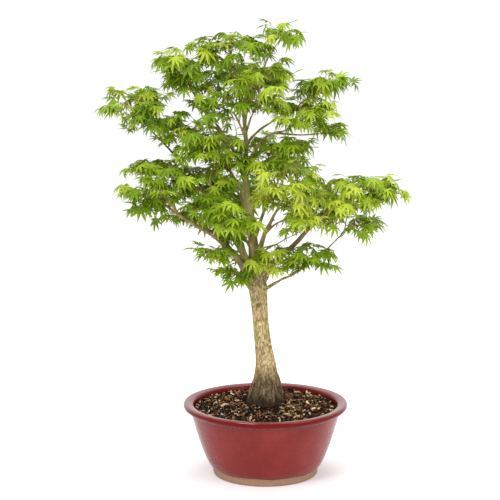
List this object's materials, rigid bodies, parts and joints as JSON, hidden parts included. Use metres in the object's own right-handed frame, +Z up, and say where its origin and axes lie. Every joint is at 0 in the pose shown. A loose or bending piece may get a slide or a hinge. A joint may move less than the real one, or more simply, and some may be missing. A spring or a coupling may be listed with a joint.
{
  "type": "maple bonsai tree in a round glazed pot",
  "caption": "Small maple tree with a single flared trunk, spreading limbs and lobed leaves, growing in soil in a round glazed bonsai pot with drain holes.",
  "frame": {"origin": "centre of the pot's base, on the surface the pot stands on, on the pot's own axis; the tree's crown leans off that axis", "axes": "+Z up along the trunk, -Y towards the side shown as the front, +X to the right seen from the front"},
  "size_m": [0.5748, 0.3732, 0.8399],
  "materials": {
    "glazed_clay": "gloss",
    "screen": "matte",
    "wire": "satin",
    "soil": "matte",
    "bark": "matte",
    "leaf": "satin"
  },
  "bodies": {
    "root": {"pot": "glazed_clay", "drain_screen_1": "screen", "drain_screen_2": "screen", "drain_screen_3": "screen", "screen_wire_1": "wire", "screen_wire_2": "wire", "screen_wire_3": "wire", "soil": "soil", "trunk_and_branches": "bark", "shoot_apex_1": "leaf", "shoot_back_1": "leaf", "shoot_back_2": "leaf", "shoot_back_high_1": "leaf", "shoot_back_left_1": "leaf", "shoot_back_right_1": "leaf", "shoot_broad_left_1": "leaf", "shoot_broad_left_2": "leaf", "shoot_crown_left_1": "leaf", "shoot_far_right_1": "leaf", "shoot_far_right_2": "leaf", "shoot_fork_left_1": "leaf", "shoot_fork_twig_1": "leaf", "shoot_front_1": "leaf", "shoot_front_low_1": "leaf", "shoot_front_right_1": "leaf", "shoot_front_right_2": "leaf", "shoot_hanging_right_1": "leaf", "shoot_high_left_1": "leaf", "shoot_high_left_2": "leaf", "shoot_high_left_inner_1": "leaf", "shoot_inner_left_1": "leaf", "shoot_inner_middle_1": "leaf", "shoot_inner_right_1": "leaf", "shoot_left_crest_1": "leaf", "shoot_low_left_1": "leaf", "shoot_low_left_twig_1": "leaf", "shoot_lower_right_1": "leaf", "shoot_lowest_twig_1": "leaf", "shoot_middle_1": "leaf", "shoot_middle_high_1": "leaf", "shoot_middle_left_1": "leaf", "shoot_middle_left_2": "leaf", "shoot_middle_right_1": "leaf", "shoot_middle_right_2": "leaf", "shoot_middle_right_low_1": "leaf", "shoot_outer_left_1": "leaf", "shoot_outer_right_1": "leaf", "shoot_outer_right_2": "leaf", "shoot_right_shoulder_1": "leaf", "shoot_right_tip_1": "leaf", "shoot_top_back_1": "leaf", "shoot_top_front_1": "leaf", "shoot_top_front_2": "leaf", "shoot_top_left_1": "leaf", "shoot_top_middle_1": "leaf", "shoot_top_middle_2": "leaf", "shoot_top_right_1": "leaf", "shoot_trunk_twig_1": "leaf", "shoot_upper_left_1": "leaf", "shoot_upper_right_1": "leaf"}
  },
  "joints": []
}
